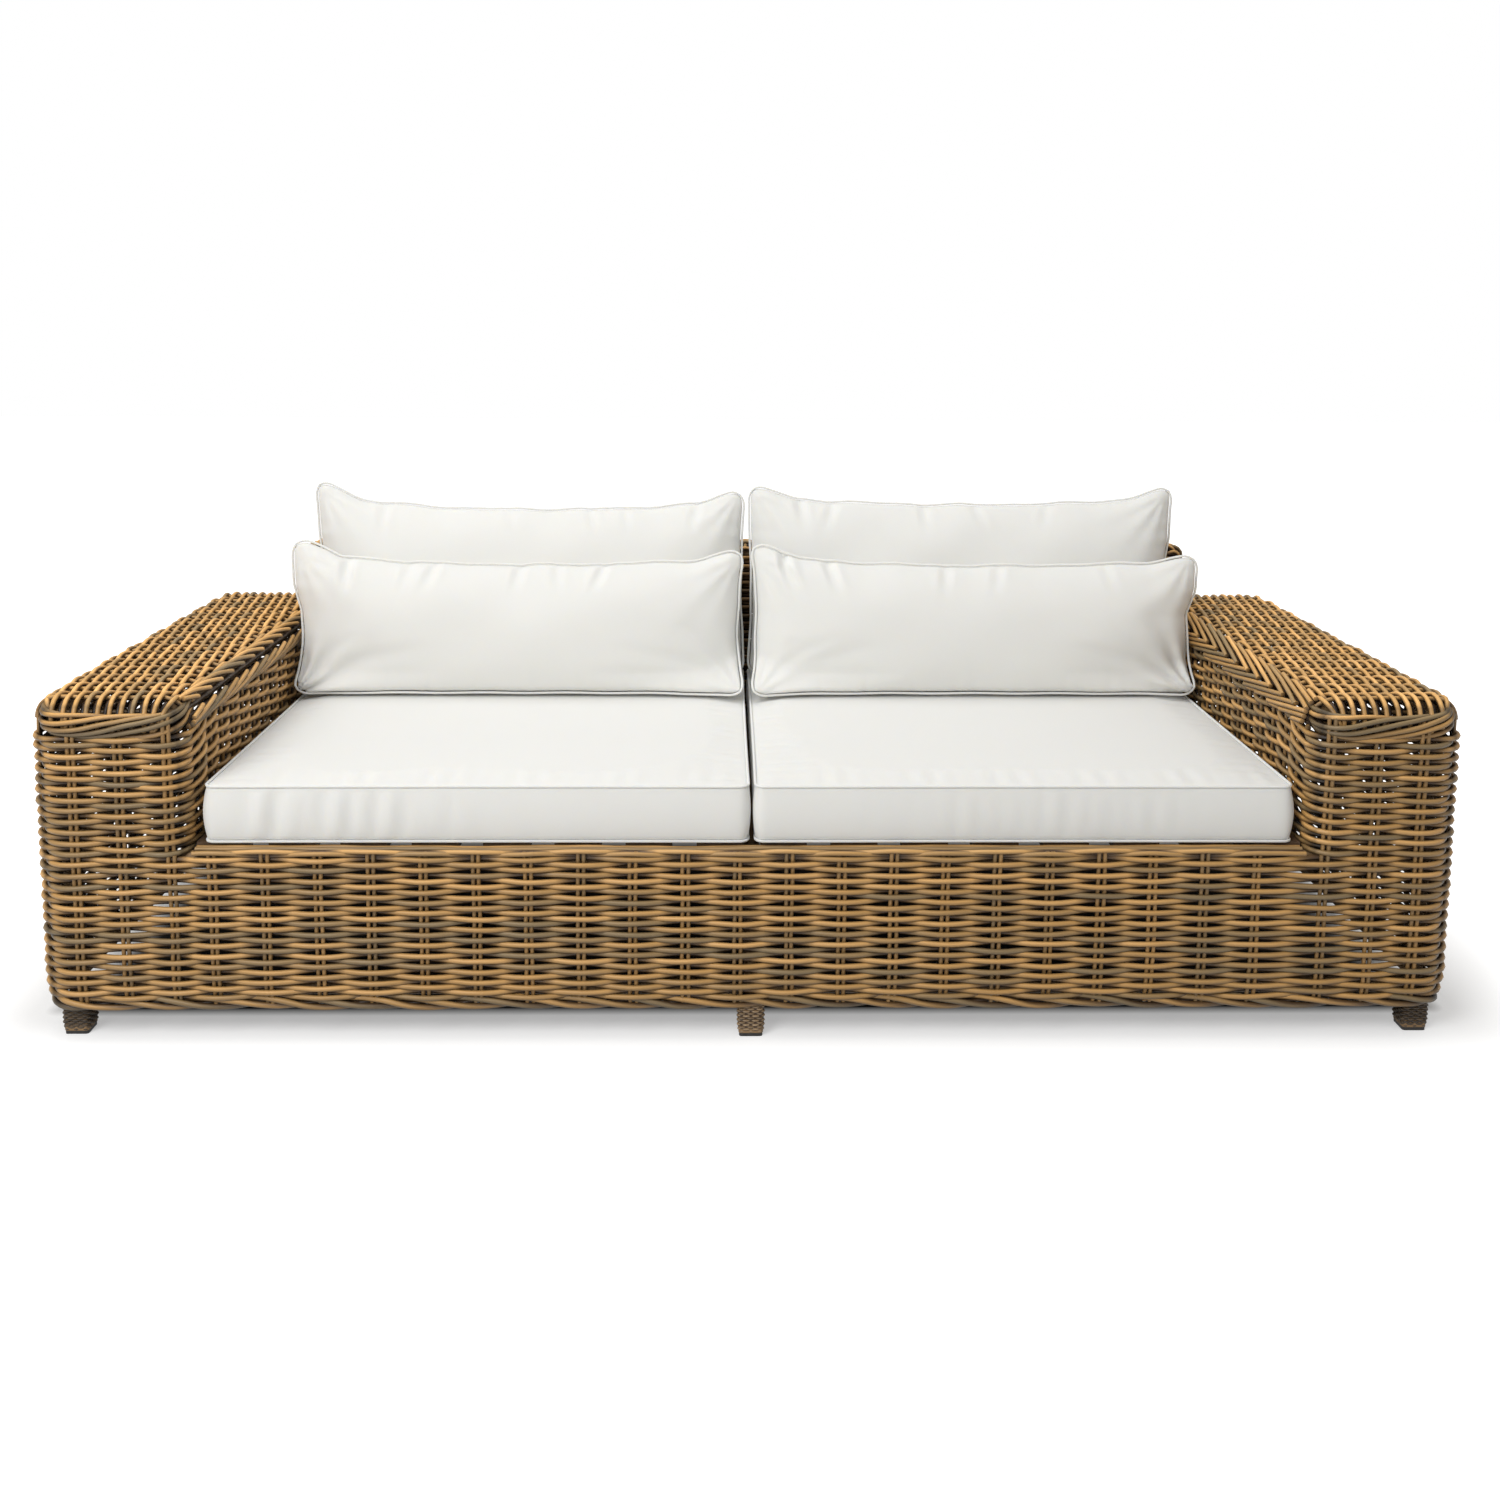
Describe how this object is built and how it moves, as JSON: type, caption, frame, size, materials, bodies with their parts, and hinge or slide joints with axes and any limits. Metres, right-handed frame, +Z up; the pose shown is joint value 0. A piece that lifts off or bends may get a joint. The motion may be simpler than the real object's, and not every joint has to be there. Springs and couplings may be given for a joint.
{
  "type": "rattan garden sofa",
  "caption": "Deep woven rattan sofa with box arms, low back, short wrapped feet and loose cushions for the seat, back and lumbar.",
  "frame": {"origin": "on the floor under the middle of the sofa's footprint", "axes": "+X along the sofa to its right as seen from the front, +Y to the back, +Z up; it faces -Y"},
  "size_m": [2.4, 1, 0.8383],
  "materials": {
    "weave": "matt woven rattan rods",
    "braid": "matt braided rattan rods",
    "pole": "natural rattan pole",
    "foot_wrap": "dark wound core",
    "glide": "moulded plastic",
    "slat": "sawn softwood",
    "cushion": "off-white woven cotton"
  },
  "bodies": {
    "frame": {"leg_front_left": "foot_wrap", "glide_front_left": "glide", "leg_rear_left": "foot_wrap", "glide_rear_left": "glide", "leg_front_right": "foot_wrap", "glide_front_right": "glide", "leg_rear_right": "foot_wrap", "glide_rear_right": "glide", "foot_front_centre": "foot_wrap", "glide_front_centre": "glide", "strut_front_centre": "pole", "foot_rear_centre": "foot_wrap", "glide_rear_centre": "glide", "strut_rear_centre": "pole", "bottom_rail_front": "pole", "bottom_rail_rear": "pole", "bottom_rail_left": "pole", "bottom_rail_right": "pole", "seat_rail_front": "pole", "seat_rail_rear": "pole", "seat_rail_left": "pole", "seat_rail_right": "pole", "seat_bearer_centre": "pole", "arm_rail_outer_left": "pole", "arm_rail_inner_left": "pole", "arm_post_inner_left": "pole", "back_post_left": "pole", "arm_rail_outer_right": "pole", "arm_rail_inner_right": "pole", "arm_post_inner_right": "pole", "back_post_right": "pole", "back_post_centre": "pole", "back_top_rail": "pole", "seat_deck_left": "slat", "seat_deck_right": "slat", "skirt_weave_front": "weave", "skirt_weave_rear": "weave", "side_weave_left": "weave", "arm_weave_front_left": "weave", "arm_weave_inner_left": "weave", "arm_weave_top_left": "weave", "arm_rim_left": "braid", "arm_braid_left": "braid", "side_weave_right": "weave", "arm_weave_front_right": "weave", "arm_weave_inner_right": "weave", "arm_weave_top_right": "weave", "arm_rim_right": "braid", "arm_braid_right": "braid", "base_border_top": "braid", "back_weave_inner": "weave", "back_weave_outer": "weave", "back_border": "braid"},
    "seat_cushion_left": {"seat_cushion_left": "cushion"},
    "seat_cushion_right": {"seat_cushion_right": "cushion"},
    "back_cushion_left": {"back_cushion_left": "cushion"},
    "back_cushion_right": {"back_cushion_right": "cushion"},
    "lumbar_cushion_left": {"lumbar_cushion_left": "cushion"},
    "lumbar_cushion_right": {"lumbar_cushion_right": "cushion"}
  },
  "joints": [
    {"name": "seat_left_pull", "type": "slide", "parent": "frame", "child": "seat_cushion_left", "axis": [0, -1, 0], "range_m": [0, 0.9]},
    {"name": "back_left_lift", "type": "slide", "parent": "frame", "child": "back_cushion_left", "axis": [0, 0.1045, 0.9945], "range_m": [0, 0.45]},
    {"name": "lumbar_left_lift", "type": "slide", "parent": "frame", "child": "lumbar_cushion_left", "axis": [0, 0, 1], "range_m": [0, 0.45]},
    {"name": "seat_right_pull", "type": "slide", "parent": "frame", "child": "seat_cushion_right", "axis": [0, -1, 0], "range_m": [0, 0.9]},
    {"name": "back_right_lift", "type": "slide", "parent": "frame", "child": "back_cushion_right", "axis": [0, 0.1045, 0.9945], "range_m": [0, 0.45]},
    {"name": "lumbar_right_lift", "type": "slide", "parent": "frame", "child": "lumbar_cushion_right", "axis": [0, 0, 1], "range_m": [0, 0.45]}
  ]
}
